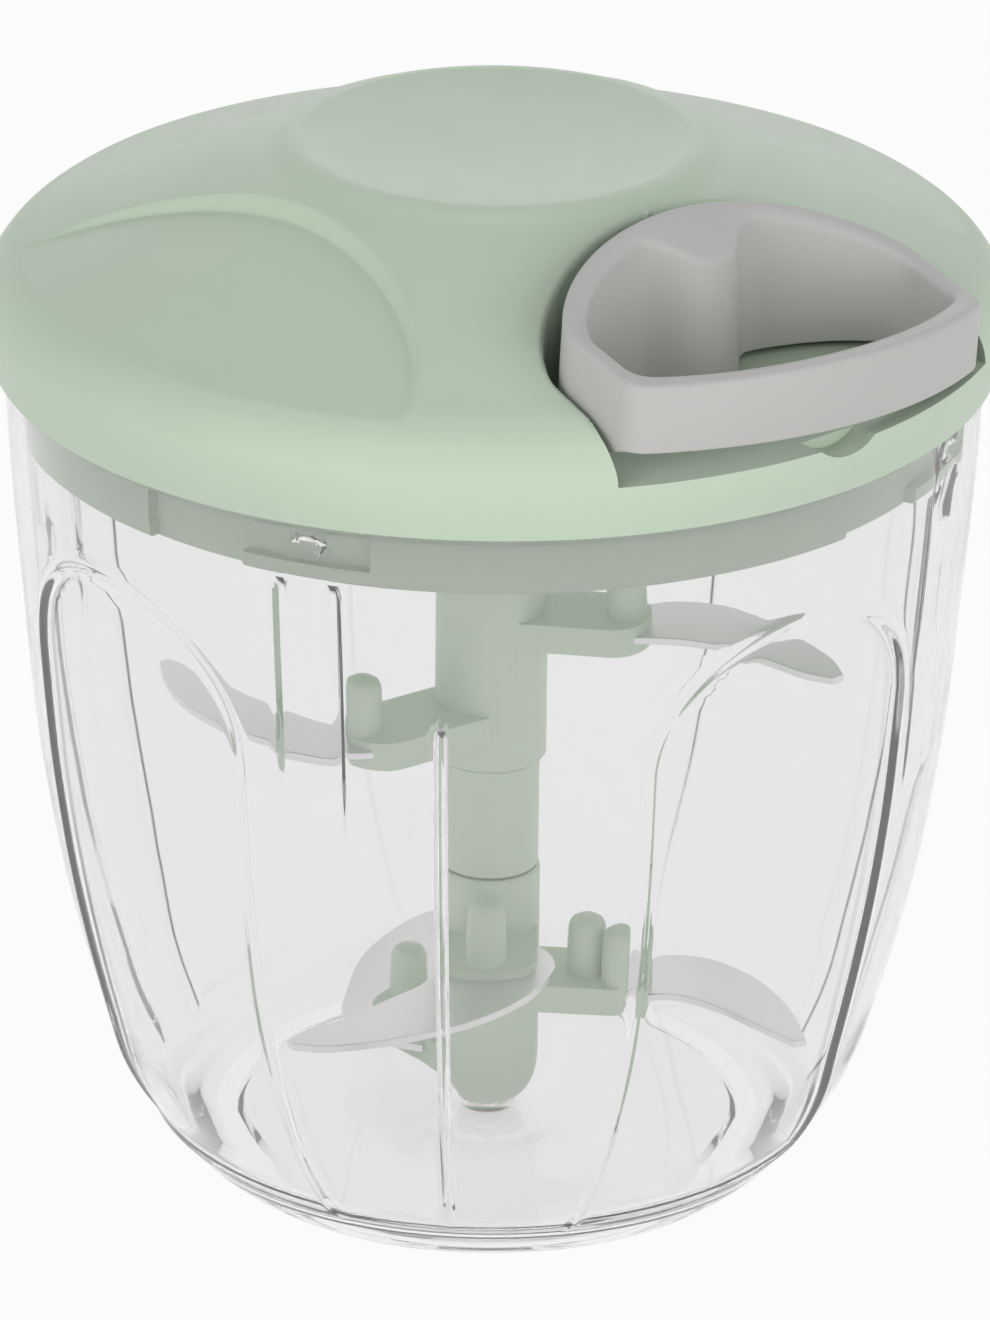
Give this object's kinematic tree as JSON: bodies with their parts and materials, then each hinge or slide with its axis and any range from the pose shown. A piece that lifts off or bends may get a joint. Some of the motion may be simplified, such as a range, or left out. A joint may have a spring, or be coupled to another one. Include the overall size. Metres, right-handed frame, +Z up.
{
  "type": "pull-cord vegetable chopper",
  "caption": "Hand-pulled vegetable chopper: a clear tapered bowl, a domed lid with a recoil reel and pull handle, and a bladed rotor on a pivot pin.",
  "frame": {"origin": "middle of the bowl's foot, on the surface it stands on", "axes": "+Z is up along the rotor's axis. -Y is the way the handle faces and is pulled. +X completes a right-handed frame: it is on the right of a viewer who looks along +Y at the handle's front face."},
  "size_m": [0.13, 0.13, 0.1395],
  "materials": {
    "clear_plastic": "clear moulded plastic, glossy",
    "lid_plastic": "fine satin",
    "rotor_plastic": "satin",
    "handle_plastic": "fine satin",
    "white_plastic": "satin",
    "seal_rubber": "soft silicone",
    "cord_fibre": "braided cord",
    "steel": "stainless steel",
    "bush_brass": "turned brass"
  },
  "bodies": {
    "bowl": {"bowl": "clear_plastic", "pivot_pin": "steel"},
    "seal": {"seal_ring": "seal_rubber"},
    "lid": {"lid_cover": "lid_plastic", "lid_base": "lid_plastic", "cover_screw_1": "steel", "cover_screw_2": "steel", "cover_screw_3": "steel", "cover_screw_4": "steel", "cord_eyelet": "steel", "cord_lead": "cord_fibre", "spindle_bush": "bush_brass"},
    "handle": {"pull_handle": "handle_plastic", "cord_knot": "cord_fibre", "cord_pull": "cord_fibre"},
    "reel": {"reel": "white_plastic", "cord_winding": "cord_fibre", "spring_cap": "steel", "recoil_spring": "steel", "drive_spindle": "white_plastic", "spindle_screw": "steel"},
    "rotor": {"rotor_shaft": "rotor_plastic", "upper_blade_hub": "rotor_plastic", "lower_blade_hub": "rotor_plastic", "blade_upper_right": "steel", "blade_upper_left": "steel", "blade_lower_front": "steel", "blade_lower_right": "steel", "blade_lower_back": "steel"}
  },
  "joints": [
    {"name": "lid_lift", "type": "slide", "parent": "bowl", "child": "seal", "axis": [0, 0, 1], "range_m": [0, 0.15]},
    {"name": "lid_turn", "type": "hinge", "parent": "seal", "child": "lid", "pos_m": [0, 0, 0.11], "axis": [0, 0, 1], "range_deg": [0, 14]},
    {"name": "handle_pull", "type": "slide", "parent": "lid", "child": "handle", "axis": [0, -1, 0], "range_m": [0, 0.35], "stiffness_N_per_m": 15, "springref_m": -0.25},
    {"name": "reel_spin", "type": "hinge", "parent": "lid", "child": "reel", "pos_m": [0, 0, 0.12], "axis": [0, 0, 1], "range_deg": [0, 925]},
    {"name": "rotor_stay", "type": "slide", "parent": "reel", "child": "rotor", "axis": [0, 0, -1], "range_m": [0, 0.15]}
  ],
  "couplings": [
    {"joint": "reel_spin", "follows": "handle_pull", "rad_per_m": 46.08},
    {"joint": "rotor_stay", "follows": "lid_lift", "ratio": 1}
  ]
}
